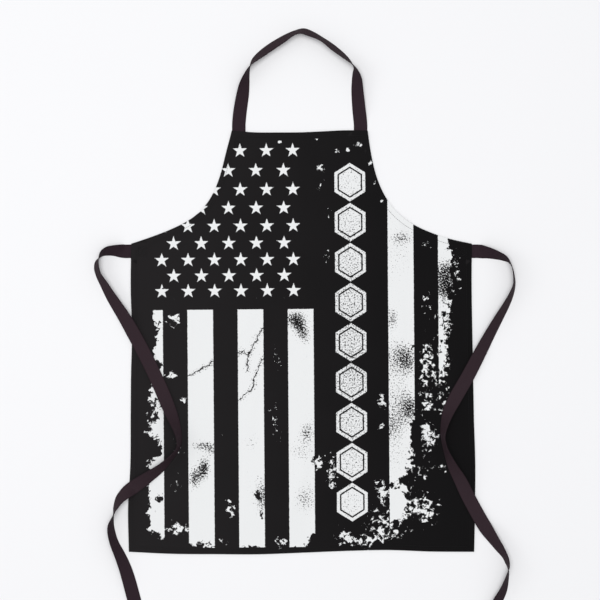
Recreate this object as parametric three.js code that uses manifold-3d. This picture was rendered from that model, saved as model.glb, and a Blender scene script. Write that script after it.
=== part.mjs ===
// A bib apron lying flat on its back, with its neck loop and its two waist ties spread out.
// Millimetres. X runs across the apron, Y from the hem towards the neck, Z up off the table.
// The origin is on the back of the cloth, in the middle of the waist, where the ties leave.
// Left and right are those of someone who looks down at the front of the apron.
import * as THREE from 'three';
import { mergeVertices } from 'three/addons/utils/BufferGeometryUtils.js';
import Module from 'manifold-3d';

const wasm = await Module();
wasm.setup();

// ---- The cut of the body ----
const BODY_LENGTH = 700; // top edge to bottom edge
const BIB_LENGTH = 188; // top edge to the corners at the waist
const BIB_WIDTH = 226; // across the top edge
const WAIST_WIDTH = 566; // from corner to corner
const BOTTOM_WIDTH = 574; // across the bottom edge
const BIB_LEAN = -3; // how far the bib lies to one side of the skirt's middle
const WAIST_HEIGHT = 12; // the corners, above the origin
const ARMHOLE_DROP = 140; // how far the armhole heads down from the bib before it turns
const ARMHOLE_SPREAD = 26; // how far it widens on the way
const ARMHOLE_REACH = 106; // how far it heads in from the waist corner before it turns
const ARMHOLE_RISE = 31; // how far it rises on the way

// ---- Cloth, hems, tape and thread ----
const CLOTH = 0.4; // one layer of cloth
const HEM_LAYERS = 0.7; // the two turned layers behind it
const HEM_WIDTH = 10;
const EDGE_SETBACK = 0.6; // a hem's fold stays this far inside the edge of the front layer
const TAPE_WIDTH = 22.5;
const TAPE = 1; // the tape's thickness
const THREAD = 0.8; // the width of a row of stitches
const THREAD_HEIGHT = 0.4;
const ROW_SETBACK = 1.5; // from a hem's inner edge to its row of stitches
const ROW_START = 2; // from the end of an edge to the first stitch
const CORNER_CLEARANCE = 1; // between hems, or rows of stitches, that meet at a corner
const GAP = 0.3; // between pieces that touch

// ---- Straps ----
const ROOT_PROUD = 2; // how far the sewn end shows past the edge
const TIE_DROP = 12.5; // the middle of a tie, below the waist corner
const STRAP_INSET = 0.5; // from the bib's corner to the neck strap's side
const BOX_STITCH = 15; // the side of the crossed box of stitches on a sewn end
const BOX_CLEARANCE = 1.5; // from the hem to the box, and from the box to the tape's cut end
const END_FOLD = 12; // how much of a tie's end is turned back
const END_ROW_INSET = 4; // from the turned edge to its row of stitches

// ---- Heights of the layers, from the table up ----
const HEM_Z = TAPE + GAP;
const CLOTH_Z = HEM_Z + HEM_LAYERS + GAP;
const FRONT_Z = CLOTH_Z + CLOTH;
const THREAD_Z = FRONT_Z + GAP;

const TOP_Y = WAIST_HEIGHT + BIB_LENGTH;
const BOTTOM_Y = TOP_Y - BODY_LENGTH;
const TIE_Y = WAIST_HEIGHT - TIE_DROP;

const ARMHOLE_STEPS = 20;
const TAPE_STEPS_PER_POINT = 2;

const CLOTH_BLACK = new THREE.MeshStandardMaterial({ color: 0x1f1d1e, roughness: 0.85, metalness: 0 });
const HEM_BLACK = new THREE.MeshStandardMaterial({ color: 0x242223, roughness: 0.88, metalness: 0 });
const TAPE_BROWN = new THREE.MeshStandardMaterial({ color: 0x33282d, roughness: 0.75, metalness: 0 });
const THREAD_BLACK = new THREE.MeshStandardMaterial({ color: 0x171516, roughness: 0.6, metalness: 0 });

const apron = new THREE.Group();

function addPiece(name, geometry, material) {
  const mesh = new THREE.Mesh(geometry, material);
  mesh.name = name;
  apron.add(mesh);
}

// ---------------------------------------------------------------- solids and booleans

/** A flat shape given thickness between two heights. */
function plate(shape, bottom, top) {
  const geometry = new THREE.ExtrudeGeometry(shape, { depth: top - bottom, bevelEnabled: false });
  return geometry.translate(0, 0, bottom);
}

function rectangle(left, right, low, high) {
  return new THREE.Shape([
    new THREE.Vector2(left, low),
    new THREE.Vector2(right, low),
    new THREE.Vector2(right, high),
    new THREE.Vector2(left, high),
  ]);
}

function toSolid(geometry) {
  const plain = geometry.clone();
  plain.deleteAttribute('normal');
  plain.deleteAttribute('uv');
  const merged = mergeVertices(plain, 1e-4);
  return new wasm.Manifold(new wasm.Mesh({
    numProp: 3,
    vertProperties: new Float32Array(merged.attributes.position.array),
    triVerts: new Uint32Array(merged.index.array),
  }));
}

function toGeometry(solid) {
  const mesh = solid.getMesh();
  const geometry = new THREE.BufferGeometry();
  geometry.setAttribute('position', new THREE.BufferAttribute(mesh.vertProperties, 3));
  geometry.setIndex(new THREE.BufferAttribute(mesh.triVerts, 1));
  return geometry;
}

function subtractAll(geometry, cutters) {
  let solid = toSolid(geometry);
  for (const cutter of cutters) {
    solid = solid.subtract(toSolid(cutter));
  }
  return toGeometry(solid);
}

// ---------------------------------------------------------------- the outline

const bibLeft = new THREE.Vector2(BIB_LEAN - BIB_WIDTH / 2, TOP_Y);
const bibRight = new THREE.Vector2(BIB_LEAN + BIB_WIDTH / 2, TOP_Y);
const waistLeft = new THREE.Vector2(-WAIST_WIDTH / 2, WAIST_HEIGHT);
const waistRight = new THREE.Vector2(WAIST_WIDTH / 2, WAIST_HEIGHT);
const bottomLeft = new THREE.Vector2(-BOTTOM_WIDTH / 2, BOTTOM_Y);
const bottomRight = new THREE.Vector2(BOTTOM_WIDTH / 2, BOTTOM_Y);

/** The handle of the armhole curve near the bib's corner; side is -1 on the left and 1 on the right. */
function bibHandle(side, corner) {
  return new THREE.Vector2(corner.x + side * ARMHOLE_SPREAD, corner.y - ARMHOLE_DROP);
}

/** The handle of the armhole curve near the waist's corner. */
function waistHandle(side, corner) {
  return new THREE.Vector2(corner.x - side * ARMHOLE_REACH, corner.y + ARMHOLE_RISE);
}

// The edges run anticlockwise, so the cloth is always on the left of the way along them.
const EDGES = {
  bottom_hem: { curve: new THREE.LineCurve(bottomLeft, bottomRight), steps: 1 },
  right_side: { curve: new THREE.LineCurve(bottomRight, waistRight), steps: 1 },
  right_armhole: {
    curve: new THREE.CubicBezierCurve(
      waistRight, waistHandle(1, waistRight), bibHandle(1, bibRight), bibRight),
    steps: ARMHOLE_STEPS,
  },
  top_hem: { curve: new THREE.LineCurve(bibRight, bibLeft), steps: 1 },
  left_armhole: {
    curve: new THREE.CubicBezierCurve(
      bibLeft, bibHandle(-1, bibLeft), waistHandle(-1, waistLeft), waistLeft),
    steps: ARMHOLE_STEPS,
  },
  left_side: { curve: new THREE.LineCurve(waistLeft, bottomLeft), steps: 1 },
};

function outlineShape() {
  const points = [];
  for (const { curve, steps } of Object.values(EDGES)) {
    for (let k = 0; k < steps; k += 1) {
      points.push(curve.getPointAt(k / steps));
    }
  }
  return new THREE.Shape(points);
}

/** The strip along an edge between two distances in from it, cut short at its start and its end. */
function edgeStrip({ curve, steps }, near, far, trimStart = 0, trimEnd = 0) {
  const length = curve.getLength();
  const inset = (k, distance) => {
    const along = (trimStart + (length - trimStart - trimEnd) * (k / steps)) / length;
    const point = curve.getPointAt(along);
    const heading = curve.getTangentAt(along);
    return new THREE.Vector2(point.x - heading.y * distance, point.y + heading.x * distance);
  };
  const outer = [];
  const inner = [];
  for (let k = 0; k <= steps; k += 1) {
    outer.push(inset(k, near));
    inner.unshift(inset(k, far));
  }
  return new THREE.Shape([...outer, ...inner]);
}

// ---------------------------------------------------------------- where the tapes are sewn on

const NECK_OFFSET = BIB_WIDTH / 2 - STRAP_INSET - TAPE_WIDTH / 2;
const BOX_DEPTH = HEM_WIDTH + BOX_CLEARANCE + BOX_STITCH / 2; // from the edge to the box's middle
const SEWN_LENGTH = BOX_DEPTH + BOX_STITCH / 2 + BOX_CLEARANCE; // how far a tape's end reaches in

/** A sewn end: its rectangle behind the cloth, and the middle of its box of stitches. */
function neckEnd(side) {
  const x = BIB_LEAN + side * NECK_OFFSET;
  return {
    left: x - TAPE_WIDTH / 2,
    right: x + TAPE_WIDTH / 2,
    low: TOP_Y - SEWN_LENGTH,
    high: TOP_Y + ROOT_PROUD,
    box: new THREE.Vector2(x, TOP_Y - BOX_DEPTH),
  };
}

function tieRoot(side) {
  const outside = side * (WAIST_WIDTH / 2 + ROOT_PROUD);
  const inside = side * (WAIST_WIDTH / 2 - SEWN_LENGTH);
  return {
    left: Math.min(outside, inside),
    right: Math.max(outside, inside),
    low: TIE_Y - TAPE_WIDTH / 2,
    high: TIE_Y + TAPE_WIDTH / 2,
    box: new THREE.Vector2(side * (WAIST_WIDTH / 2 - BOX_DEPTH), TIE_Y),
  };
}

const SEWN_ENDS = {
  neck_strap_left_end: { ...neckEnd(-1), stitch: 'neck_left_box_stitch' },
  neck_strap_right_end: { ...neckEnd(1), stitch: 'neck_right_box_stitch' },
  left_tie_root: { ...tieRoot(-1), stitch: 'left_tie_box_stitch' },
  right_tie_root: { ...tieRoot(1), stitch: 'right_tie_box_stitch' },
};

// ---------------------------------------------------------------- the body of the apron

// The middle of the cloth lies on the table. Its border is raised over the turned hems, and it has
// a pocket behind each place where a tape's end reaches further in than the hem.
function bodyPanel() {
  const hemRoom = Object.values(EDGES).map((edge) => plate(
    edgeStrip(edge, -HEM_WIDTH, HEM_WIDTH + GAP), -GAP, HEM_Z + HEM_LAYERS + GAP));
  const tapeRoom = Object.values(SEWN_ENDS).map((end) => plate(
    rectangle(end.left - GAP, end.right + GAP, end.low - GAP, end.high + GAP), -GAP, TAPE + GAP));
  return subtractAll(plate(outlineShape(), 0, FRONT_Z), [...hemRoom, ...tapeRoom]);
}

addPiece('body_panel', bodyPanel(), CLOTH_BLACK);

/** How far back a strip along a side edge stops, for its inner corner to clear what crosses it. */
function sideTrim(clear, inset) {
  const slope = Math.atan2(Math.abs(BOTTOM_WIDTH - WAIST_WIDTH) / 2, WAIST_HEIGHT - BOTTOM_Y);
  return (clear + inset * Math.sin(slope)) / Math.cos(slope);
}

// At the bottom corners the side hems stop short of the hem that crosses them, and at the waist the
// armhole's hem stops short of the side's. An armhole's row of stitches starts and stops where the
// tapes' ends are sewn on.
const ROW_INSET = HEM_WIDTH - ROW_SETBACK;
const SHORT_OF_HEM = HEM_WIDTH + CORNER_CLEARANCE;
const SIDE_HEM_END = sideTrim(SHORT_OF_HEM, HEM_WIDTH);
const SIDE_ROW_END = sideTrim(ROW_INSET + CORNER_CLEARANCE, ROW_INSET);
const HEMS = {
  top_hem: {
    edge: 'top_hem',
    trim: [EDGE_SETBACK, EDGE_SETBACK],
    rowTrim: [ROW_START, ROW_START],
  },
  bottom_hem: {
    edge: 'bottom_hem',
    trim: [EDGE_SETBACK, EDGE_SETBACK],
    rowTrim: [ROW_START, ROW_START],
  },
  left_side_hem: {
    edge: 'left_side',
    trim: [CORNER_CLEARANCE, SIDE_HEM_END],
    rowTrim: [ROW_START, SIDE_ROW_END],
  },
  right_side_hem: {
    edge: 'right_side',
    trim: [SIDE_HEM_END, CORNER_CLEARANCE],
    rowTrim: [SIDE_ROW_END, ROW_START],
  },
  left_armhole_hem: {
    edge: 'left_armhole',
    trim: [SHORT_OF_HEM, SHORT_OF_HEM],
    rowTrim: [SEWN_LENGTH, SEWN_LENGTH],
  },
  right_armhole_hem: {
    edge: 'right_armhole',
    trim: [SHORT_OF_HEM, SHORT_OF_HEM],
    rowTrim: [SEWN_LENGTH, SEWN_LENGTH],
  },
};

for (const [name, { edge, trim, rowTrim }] of Object.entries(HEMS)) {
  const strip = edgeStrip(EDGES[edge], EDGE_SETBACK, HEM_WIDTH, ...trim);
  addPiece(name, plate(strip, HEM_Z, HEM_Z + HEM_LAYERS), HEM_BLACK);

  const row = edgeStrip(EDGES[edge], ROW_INSET - THREAD / 2, ROW_INSET + THREAD / 2, ...rowTrim);
  addPiece(`${edge}_stitching`, plate(row, THREAD_Z, THREAD_Z + THREAD_HEIGHT), THREAD_BLACK);
}

/** A square frame of stitches with a cross inside it, as one flat shape with four holes. */
function boxStitchShape(centre) {
  const half = BOX_STITCH / 2;
  const shape = rectangle(centre.x - half, centre.x + half, centre.y - half, centre.y + half);
  const inner = half - THREAD;
  const arm = THREAD / Math.SQRT2;
  for (let quarter = 0; quarter < 4; quarter += 1) {
    const hole = [[0, arm], [inner - arm, inner], [arm - inner, inner]].map(([x, y]) => (
      new THREE.Vector2(x, y).rotateAround(new THREE.Vector2(), quarter * Math.PI / 2).add(centre)));
    shape.holes.push(new THREE.Path(hole));
  }
  return shape;
}

for (const [name, end] of Object.entries(SEWN_ENDS)) {
  addPiece(name, plate(rectangle(end.left, end.right, end.low, end.high), 0, TAPE), TAPE_BROWN);
  addPiece(end.stitch, plate(boxStitchShape(end.box), THREAD_Z, THREAD_Z + THREAD_HEIGHT), THREAD_BLACK);
}

// ---------------------------------------------------------------- flat tape along a route

// The tape's section, as shares of half its width and half its thickness: flat, with eased edges.
const SECTION = [[1, -0.4], [1, 0.4], [0.96, 1], [-0.96, 1], [-1, 0.4], [-1, -0.4], [-0.96, -1], [0.96, -1]];

/**
 * A closed solid of flat tape. Each stop of the route is [x, y, height, roll]: height is that of the
 * tape's lowest edge, and roll turns the tape about its own length, in degrees, lifting its left edge.
 */
function tapeAlong(route) {
  const stations = (route.length - 1) * TAPE_STEPS_PER_POINT;
  const places = new THREE.CatmullRomCurve3(
    route.map(([x, y, height]) => new THREE.Vector3(x, y, height)), false, 'centripetal');
  const rolls = new THREE.CatmullRomCurve3(
    route.map(([, , , roll]) => new THREE.Vector3(THREE.MathUtils.degToRad(roll), 0, 0)),
    false, 'catmullrom');

  const turns = [];
  const middles = [];
  for (let i = 0; i <= stations; i += 1) {
    const roll = rolls.getPoint(i / stations).x;
    const place = places.getPoint(i / stations);
    const rise = (TAPE_WIDTH * Math.abs(Math.sin(roll)) + TAPE * Math.abs(Math.cos(roll))) / 2;
    turns.push(roll);
    middles.push(new THREE.Vector3(place.x, place.y, Math.max(place.z, 0) + rise));
  }

  const positions = [];
  middles.forEach((middle, i) => {
    const before = middles[Math.max(i - 1, 0)];
    const after = middles[Math.min(i + 1, stations)];
    const heading = after.clone().sub(before).normalize();
    const toLeft = new THREE.Vector3(-heading.y, heading.x, 0).normalize();
    const across = toLeft.applyAxisAngle(heading, turns[i]);
    const through = new THREE.Vector3().crossVectors(heading, across);
    for (const [wide, thick] of SECTION) {
      const corner = middle.clone()
        .addScaledVector(across, wide * TAPE_WIDTH / 2)
        .addScaledVector(through, thick * TAPE / 2);
      positions.push(corner.x, corner.y, corner.z);
    }
  });

  const sides = SECTION.length;
  const faces = [];
  for (let i = 0; i < stations; i += 1) {
    for (let k = 0; k < sides; k += 1) {
      const next = (k + 1) % sides;
      const [a, b] = [i * sides + k, i * sides + next];
      const [d, c] = [a + sides, b + sides];
      // Both broad faces are split along the same diagonal, so that a twisted stretch keeps its thickness.
      if (SECTION[k][1] + SECTION[next][1] < 0) {
        faces.push(a, b, d, b, c, d);
      } else {
        faces.push(a, b, c, a, c, d);
      }
    }
  }
  const last = stations * sides;
  for (let k = 1; k < sides - 1; k += 1) {
    faces.push(0, k + 1, k);
    faces.push(last, last + k, last + k + 1);
  }

  const geometry = new THREE.BufferGeometry();
  geometry.setAttribute('position', new THREE.Float32BufferAttribute(positions, 3));
  geometry.setIndex(faces);
  return geometry;
}

// ---------------------------------------------------------------- the neck loop

// Each stop of the loop is [share of the way from its middle to its ends, height above the bib's top
// edge, height off the table, roll]. The tape leaves the bib flat, stands up on its outer edge at
// each shoulder and leans inwards over the crown.
const NECK_STOPS = [
  [-1, 10, 0, 0], [-0.981, 30, 0, 10], [-0.934, 60, 0, 25], [-0.907, 76, 0, 44], [-0.873, 89.5, 0, 66],
  [-0.82, 104, 0, 90], [-0.734, 116.8, 0, 118], [-0.55, 132.4, 0, 130], [-0.303, 148.8, 0, 128],
  [-0.068, 162, 0, 116], [0.062, 164, 0, 123], [0.168, 160.4, 0, 124], [0.36, 150.8, 0, 116],
  [0.563, 135.7, 0, 121.5], [0.769, 118.6, 0, 112], [0.888, 105, 0, 90], [0.922, 95, 0, 64],
  [0.939, 83.5, 0, 43], [0.945, 68, 0, 30], [0.97, 38, 0, 15], [1, 10, 0, 0],
];

function neckRoute() {
  const start = TOP_Y + ROOT_PROUD + GAP;
  const stops = NECK_STOPS.map(([share, up, height, roll]) => (
    [BIB_LEAN + share * NECK_OFFSET, TOP_Y + up, height, roll]));
  return [
    [BIB_LEAN - NECK_OFFSET, start, 0, 0],
    ...stops,
    [BIB_LEAN + NECK_OFFSET, start, 0, 0],
  ];
}

addPiece('neck_strap', tapeAlong(neckRoute()), TAPE_BROWN);

// ---------------------------------------------------------------- the waist ties

// Each stop of a tie is [across, up, height off the table, roll], from where the tie leaves the
// cloth's side edge at the middle of its root. A tie turns back over the skirt, runs down across it,
// turns out again and ends on the table below the hem.
const LEFT_TIE_STOPS = [
  [-11, 0, 0, 0], [-24, 1, 0, -33], [-39, 0, 0, -52], [-46.5, -3.5, 0, -70], [-51.5, -10, 0, -90],
  [-56, -19, 0, -112], [-56.5, -28.5, 0, -118], [-53, -40, 0, -120], [-44.5, -55, 0, -130],
  [-32.5, -76, 1, -143], [-12, -108, 4, -160], [6, -140, 4, -175], [29.5, -185, 4, -180],
  [49.5, -228, 4, -182], [64, -262, 4, -205], [75, -289, 4, -233], [80, -307, 4, -248],
  [80, -323, 4, -256], [74, -334, 4, -254], [62, -347, 4, -245], [47.5, -361, 4, -228],
  [27.5, -375.5, 4, -211], [6, -390.5, 4, -185], [-9, -401.5, 4, -150], [-19, -412, 2, -131],
  [-25.5, -425.5, 0, -112], [-29.5, -439.5, 0, -90], [-33, -454, 0, -70], [-32, -467, 0, -62],
  [-27, -485, 0, -57], [-18, -505, 0, -45], [-9.5, -527, 0, -30], [-3, -549, 0, -18],
  [5, -580, 0, -8], [15, -618, 0, 0], [26, -660, 0, 0],
];
const RIGHT_TIE_STOPS = [
  [11, 0, 0, 0], [24, -2, 0, 32], [42, -7, 0, 55], [54, -12, 0, 70], [62, -19, 0, 90],
  [66.5, -28, 0, 98], [69, -41, 0, 102], [69.5, -54.5, 0, 106], [65.5, -69.5, 0, 115],
  [57, -88, 0, 125], [45.5, -108.5, 0, 135], [28.5, -139.5, 1, 148], [15.5, -164, 4, 160],
  [-9.5, -212.5, 4, 178], [-28, -244, 4, 195], [-39.5, -266, 4, 218], [-46, -286, 4, 240],
  [-49, -304, 4, 254], [-48, -315, 4, 257], [-43.5, -331, 4, 252], [-32.5, -357, 4, 228],
  [-19.5, -380.5, 4, 204], [-6, -408, 4, 183], [18, -451.5, 4, 181], [33, -474.5, 2, 215],
  [45.5, -492.5, 0.5, 232], [54.5, -506.5, 0, 248], [58.5, -518, 0, 258], [59.5, -525, 0, 270],
  [59, -533.5, 0, 285], [56, -547, 0, 298], [51, -563.5, 0, 313], [43, -580, 0, 324],
  [31, -610, 0, 345], [18, -641, 0, 360], [3, -678, 0, 360],
];

function tieRoute(side, stops) {
  const edge = side * WAIST_WIDTH / 2;
  const start = [edge + side * (ROOT_PROUD + GAP), TIE_Y, 0, 0];
  return [start, ...stops.map(([across, up, height, roll]) => [edge + across, TIE_Y + up, height, roll])];
}

/** A flat piece that lies across a tie's end, from one distance back from the tip to another. */
function acrossEnd(route, back, depth, bottom, top, width) {
  const [tip, before] = [route.at(-1), route.at(-2)];
  const heading = Math.atan2(tip[1] - before[1], tip[0] - before[0]);
  return plate(rectangle(-back - depth, -back, -width / 2, width / 2), bottom, top)
    .rotateZ(heading)
    .translate(tip[0], tip[1], 0);
}

for (const [name, side, stops] of [['left_tie', -1, LEFT_TIE_STOPS], ['right_tie', 1, RIGHT_TIE_STOPS]]) {
  const route = tieRoute(side, stops);
  addPiece(name, tapeAlong(route), TAPE_BROWN);

  const foldZ = TAPE + GAP;
  addPiece(`${name}_end_fold`, acrossEnd(route, 0, END_FOLD, foldZ, foldZ + TAPE, TAPE_WIDTH), TAPE_BROWN);

  const rowZ = foldZ + TAPE + GAP;
  const rowWidth = TAPE_WIDTH - 2 * THREAD;
  const rowBack = END_FOLD - END_ROW_INSET;
  addPiece(
    `${name}_end_stitch`,
    acrossEnd(route, rowBack, THREAD, rowZ, rowZ + THREAD_HEIGHT, rowWidth),
    THREAD_BLACK,
  );
}

export default apron;
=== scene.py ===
# %% [markdown]
# # A bib apron laid flat, with its neck loop and waist ties spread out
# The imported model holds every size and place: the cut cloth, its hems, the tapes and the joints.
# This lesson dresses that frame. The camera and the three tapes come first, then the cloth with its
# folds, then hems and stitches, and the finishes last. Lengths are in metres, X runs across the
# apron, Y towards the neck and Z up off the table.

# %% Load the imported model
import math

import bpy
import numpy as np
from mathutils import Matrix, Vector
from mathutils.geometry import delaunay_2d_cdt


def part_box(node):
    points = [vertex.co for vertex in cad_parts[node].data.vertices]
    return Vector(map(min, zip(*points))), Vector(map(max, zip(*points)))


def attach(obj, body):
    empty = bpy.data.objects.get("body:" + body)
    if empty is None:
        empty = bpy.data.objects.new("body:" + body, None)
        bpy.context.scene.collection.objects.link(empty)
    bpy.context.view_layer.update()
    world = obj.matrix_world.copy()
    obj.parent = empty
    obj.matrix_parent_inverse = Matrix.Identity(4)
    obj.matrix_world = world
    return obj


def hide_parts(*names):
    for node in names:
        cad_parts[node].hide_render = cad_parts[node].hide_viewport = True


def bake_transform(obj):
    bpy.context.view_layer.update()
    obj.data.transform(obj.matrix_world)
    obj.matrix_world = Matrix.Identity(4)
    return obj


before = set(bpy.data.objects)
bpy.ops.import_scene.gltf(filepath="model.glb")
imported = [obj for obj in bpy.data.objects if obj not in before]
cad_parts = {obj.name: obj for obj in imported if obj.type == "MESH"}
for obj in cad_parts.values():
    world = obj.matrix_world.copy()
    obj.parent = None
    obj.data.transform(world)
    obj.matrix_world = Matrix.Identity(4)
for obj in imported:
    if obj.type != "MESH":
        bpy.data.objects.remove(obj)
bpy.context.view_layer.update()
MM = 0.001

# %% [markdown]
# The apron is looked at from straight above. A long lens far away keeps the tapes that stand on
# edge from leaning outwards, as a wide lens close by would make them do. The sensor is 36 mm wide,
# so a view 998 mm wide through a 100 mm lens needs the camera 2.77 m above the table.

# %% Camera
VIEW_WIDTH = 998 * MM
VIEW_MIDDLE = (-2.5 * MM, -81.5 * MM)
LENS_MM = 100
SENSOR_MM = 36

camera_height = VIEW_WIDTH * LENS_MM / SENSOR_MM
bpy.ops.object.camera_add(location=(*VIEW_MIDDLE, camera_height), rotation=(0, 0, 0))
camera = bpy.context.object
camera.data.lens = LENS_MM
camera.data.sensor_width = SENSOR_MM
bpy.context.scene.camera = camera
bpy.context.scene.view_settings.view_transform = "Standard"
print(f"camera {camera_height:.2f} m above the table")

# %% [markdown]
# A tape's route is a short list of places, and the tape runs through them on a Catmull-Rom curve, the
# same curve that the model's solids follow. A Bezier curve would need two handles at every place. The
# centripetal kind doesn't overshoot where places lie close together, so it carries the tape. The even
# kind is enough for its roll.

# %% A smooth curve through chosen places


def smooth(points, steps, centripetal=True):
    """The points of a Catmull-Rom curve through the given points, with that many steps in each gap."""
    points = np.array(points, float)
    guides = np.vstack([2 * points[0] - points[1], points, 2 * points[-1] - points[-2]])
    curve = []
    for a, b, c, d in zip(guides, guides[1:], guides[2:], guides[3:]):
        if centripetal:
            before, here, after = (np.linalg.norm(q - p) ** 0.5 for p, q in ((a, b), (b, c), (c, d)))
        else:
            before = here = after = 1
        leave = ((b - a) / before - (c - a) / (before + here) + (c - b) / here) * here
        arrive = ((c - b) / here - (d - b) / (here + after) + (d - c) / after) * here
        for t in np.arange(steps) / steps:
            curve.append(
                (2 * t**3 - 3 * t**2 + 1) * b + (t**3 - 2 * t**2 + t) * leave
                + (3 * t**2 - 2 * t**3) * c + (t**3 - t**2) * arrive)
    return np.array([*curve, points[-1]])


corner_test = smooth([(0, 0), (1, 0), (1, 1)], steps=8)
print(f"the curve passes {corner_test[:, 0].max() - 1:.3f} beyond a square corner of side 1")

# %% [markdown]
# The tapes, the hems and the cloth's border are all swept: rows of points follow each other, each row
# is a closed loop, and four-sided faces join it to the next. Two faces close the ends of a bar.

# %% Rows of points made into meshes


def bands(rows, sides):
    """The faces between rows of points, each row a closed loop with that many sides."""
    return [
        (row * sides + k, row * sides + (k + 1) % sides,
         (row + 1) * sides + (k + 1) % sides, (row + 1) * sides + k)
        for row in range(rows - 1) for k in range(sides)]


def closed_bands(rows, sides):
    """The bands, with a face over the first row and one over the last."""
    last = (rows - 1) * sides
    return [*bands(rows, sides), tuple(reversed(range(sides))), tuple(range(last, last + sides))]


def add_mesh(name, points, faces):
    """A new piece from points and faces, in place."""
    mesh = bpy.data.meshes.new(name)
    mesh.from_pydata([tuple(p) for p in points], [], faces)
    mesh.update()
    piece = bpy.data.objects.new(name, mesh)
    bpy.context.scene.collection.objects.link(piece)
    return piece


def shade_round(piece):
    for polygon in piece.data.polygons:
        polygon.use_smooth = True


print("a bar of 3 rows of 4 points has", len(closed_bands(3, 4)), "faces")

# %% [markdown]
# The tape is a woven strip 22.5 mm wide and 1 mm thick. A round bevel on a curve can't show how it
# rolls over at a bend, so the strip is swept by hand: at each station a flat section is turned about
# the tape's heading by the roll, and lifted until its lowest edge rests at the height given. Its UV
# map holds metres across and along the tape, so that the weave follows it round every bend; the side
# that faces down at the sewn end is set apart by a step in the map.

# %% Flat tape along a route
TAPE_WIDTH = 22.5 * MM
TAPE = 1 * MM
ROUTE_STEPS = 8
BACK_STEP = 0.1  # added to the first UV coordinate on the tape's back

# Shares of half the width and of half the thickness, across one face of the tape, with eased edges.
TAPE_FACE = [
    (-0.985, 0.72), (-0.93, 1), (-0.6, 1), (-0.2, 1), (0.2, 1), (0.6, 1), (0.93, 1), (0.985, 0.72)]
TAPE_SECTION = [(-1, 0), *TAPE_FACE, (1, 0), *[(wide, -thick) for wide, thick in reversed(TAPE_FACE)]]


def tape_stations(stops):
    """The middle, the way across and the way through the tape at each station of a route.

    A stop is [x, y, height of the lowest edge, roll in degrees]."""
    stops = np.array(stops, float)
    places = smooth(stops[:, :3], ROUTE_STEPS)
    rolls = np.radians(smooth(stops[:, 3:], ROUTE_STEPS, centripetal=False)[:, 0])
    rise = (TAPE_WIDTH * abs(np.sin(rolls)) + TAPE * abs(np.cos(rolls))) / 2
    middles = np.column_stack([places[:, :2], np.maximum(places[:, 2], 0) + rise])
    headings = np.gradient(middles, axis=0)
    headings /= np.linalg.norm(headings, axis=1)[:, None]
    to_left = np.column_stack([-headings[:, 1], headings[:, 0], np.zeros(len(rolls))])
    to_left /= np.linalg.norm(to_left, axis=1)[:, None]
    up = np.cross(headings, to_left)
    across = to_left * np.cos(rolls)[:, None] + up * np.sin(rolls)[:, None]
    return middles, across, np.cross(headings, across)


def add_tape(name, stops):
    """The closed strip, and the points down its middle."""
    middles, across, through = tape_stations(stops)
    sides = len(TAPE_SECTION)
    points = [
        middle + wide * TAPE_WIDTH / 2 * along_width + thick * TAPE / 2 * along_thickness
        for middle, along_width, along_thickness in zip(middles, across, through)
        for wide, thick in TAPE_SECTION]
    piece = add_mesh(name, points, closed_bands(len(middles), sides))

    steps = np.linalg.norm(np.diff(middles, axis=0), axis=1)
    along = np.concatenate([[0], np.cumsum(steps)])
    uv = piece.data.uv_layers.new(name="weave").data
    for polygon in piece.data.polygons:
        side = polygon.index % sides
        is_back = TAPE_SECTION[side][1] + TAPE_SECTION[(side + 1) % sides][1] < 0
        for loop in polygon.loop_indices:
            station, corner = divmod(piece.data.loops[loop].vertex_index, sides)
            from_middle = TAPE_SECTION[corner][0] * TAPE_WIDTH / 2
            uv[loop].uv = (from_middle + BACK_STEP * is_back, along[station])
    shade_round(piece)
    print(f"{name}: {along[-1]:.3f} m, {len(piece.data.polygons)} faces")
    return piece, middles, along[-1]


print("the tape's section has", len(TAPE_SECTION), "corners")

# %% [markdown]
# Each tape is one continuous strip, sewn ends and all. Its hidden end starts behind the cloth, 28 mm
# in from the edge. The loop's stops are shares of the way from its middle to its ends, and heights
# above the bib; the tape leaves the bib flat, stands on its outer edge at each shoulder and leans
# inwards over the crown.

# %% Neck loop
body_low, body_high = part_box("body_panel")
bib_low, bib_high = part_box("top_hem")
TOP_Y = body_high.y
BOTTOM_Y = body_low.y
EDGE_SETBACK = 0.6 * MM
BIB_MIDDLE = (bib_low.x + bib_high.x) / 2
BIB_HALF = (bib_high.x - bib_low.x) / 2 + EDGE_SETBACK
SEWN_LENGTH = 28 * MM
STRAP_INSET = 0.5 * MM
NECK_OFFSET = BIB_HALF - STRAP_INSET - TAPE_WIDTH / 2

NECK_STOPS = [
    (-1, 10, 0, 0), (-0.981, 30, 0, 10), (-0.934, 60, 0, 25), (-0.907, 76, 0, 44), (-0.873, 89.5, 0, 66),
    (-0.82, 104, 0, 90), (-0.734, 116.8, 0, 118), (-0.55, 132.4, 0, 130), (-0.303, 148.8, 0, 128),
    (-0.068, 162, 0, 116), (0.062, 164, 0, 123), (0.168, 160.4, 0, 124), (0.36, 150.8, 0, 116),
    (0.563, 135.7, 0, 121.5), (0.769, 118.6, 0, 112), (0.888, 105, 0, 90), (0.922, 95, 0, 64),
    (0.939, 83.5, 0, 43), (0.945, 68, 0, 30), (0.97, 38, 0, 15), (1, 10, 0, 0)]
SEWN_PLACES_MM = (-28, -14, 2)  # of a neck end, above the bib's top edge

neck_route = [
    (BIB_MIDDLE + share * NECK_OFFSET, TOP_Y + up * MM, height * MM, roll)
    for share, up, height, roll in [
        *[(-1, up, 0, 0) for up in SEWN_PLACES_MM],
        *NECK_STOPS,
        *[(1, up, 0, 0) for up in reversed(SEWN_PLACES_MM)]]]
neck_strap, neck_path, neck_length = add_tape("neck_tape", neck_route)

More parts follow.
